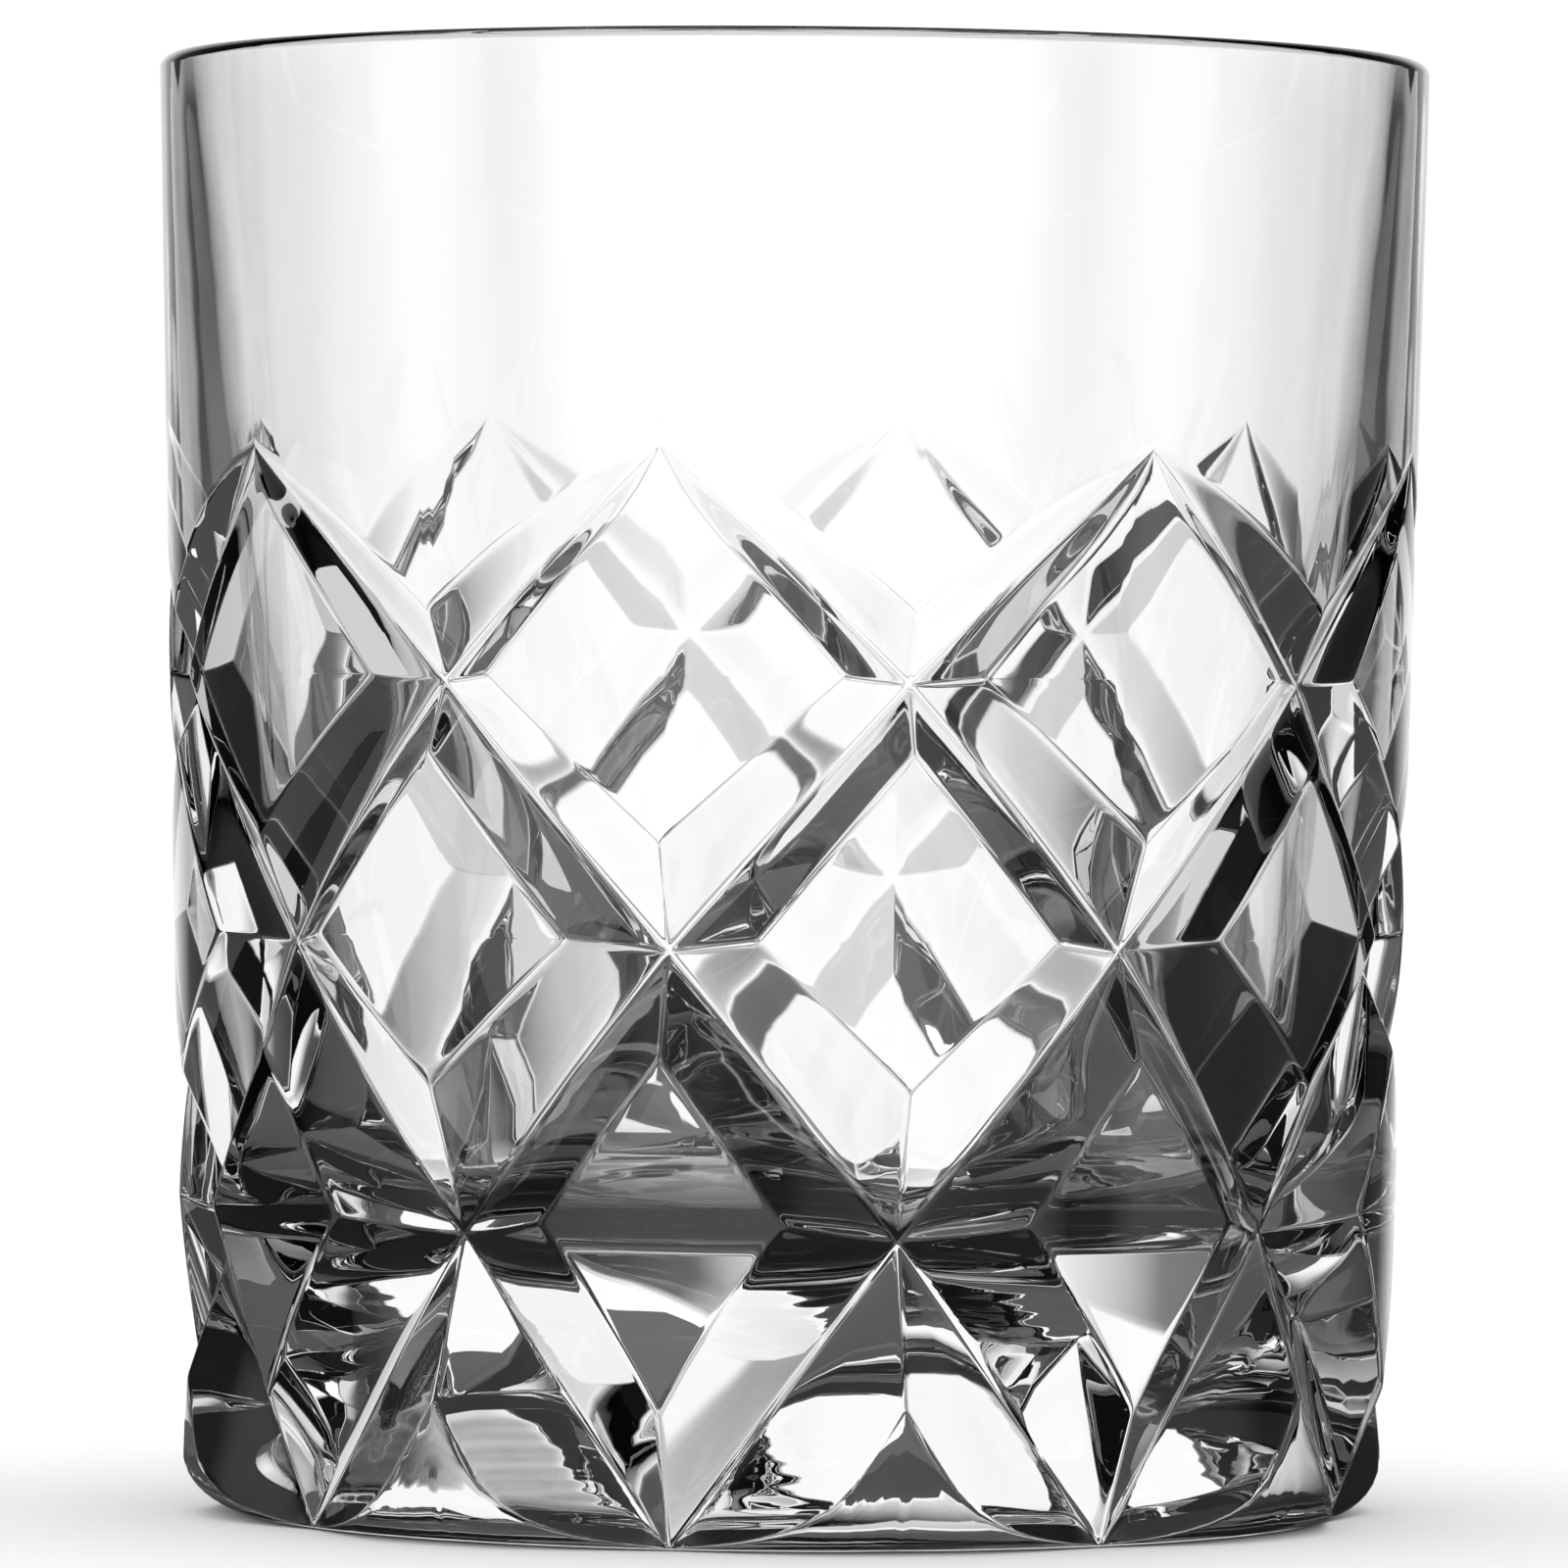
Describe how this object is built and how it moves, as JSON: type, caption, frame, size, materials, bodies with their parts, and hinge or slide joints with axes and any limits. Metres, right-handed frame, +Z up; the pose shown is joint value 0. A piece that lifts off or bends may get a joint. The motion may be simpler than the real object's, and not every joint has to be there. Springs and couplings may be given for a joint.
{
  "type": "whiskey tumbler",
  "caption": "Straight-sided double old-fashioned glass in clear crystal, with crossing V-cut grooves, diamond flats, a plain band under the rim and a thick heavy base.",
  "frame": {"origin": "centre of the circle that the glass stands on", "axes": "+Z up along the glass's own axis, towards the mouth; seen from -Y the tip nearest the middle is 11.5 degrees to the left"},
  "size_m": [0.084, 0.084, 0.096],
  "materials": {
    "crystal": "clear polished crystal, colourless, with crisp polished cuts"
  },
  "bodies": {
    "root": {"tumbler": "crystal"}
  },
  "joints": []
}
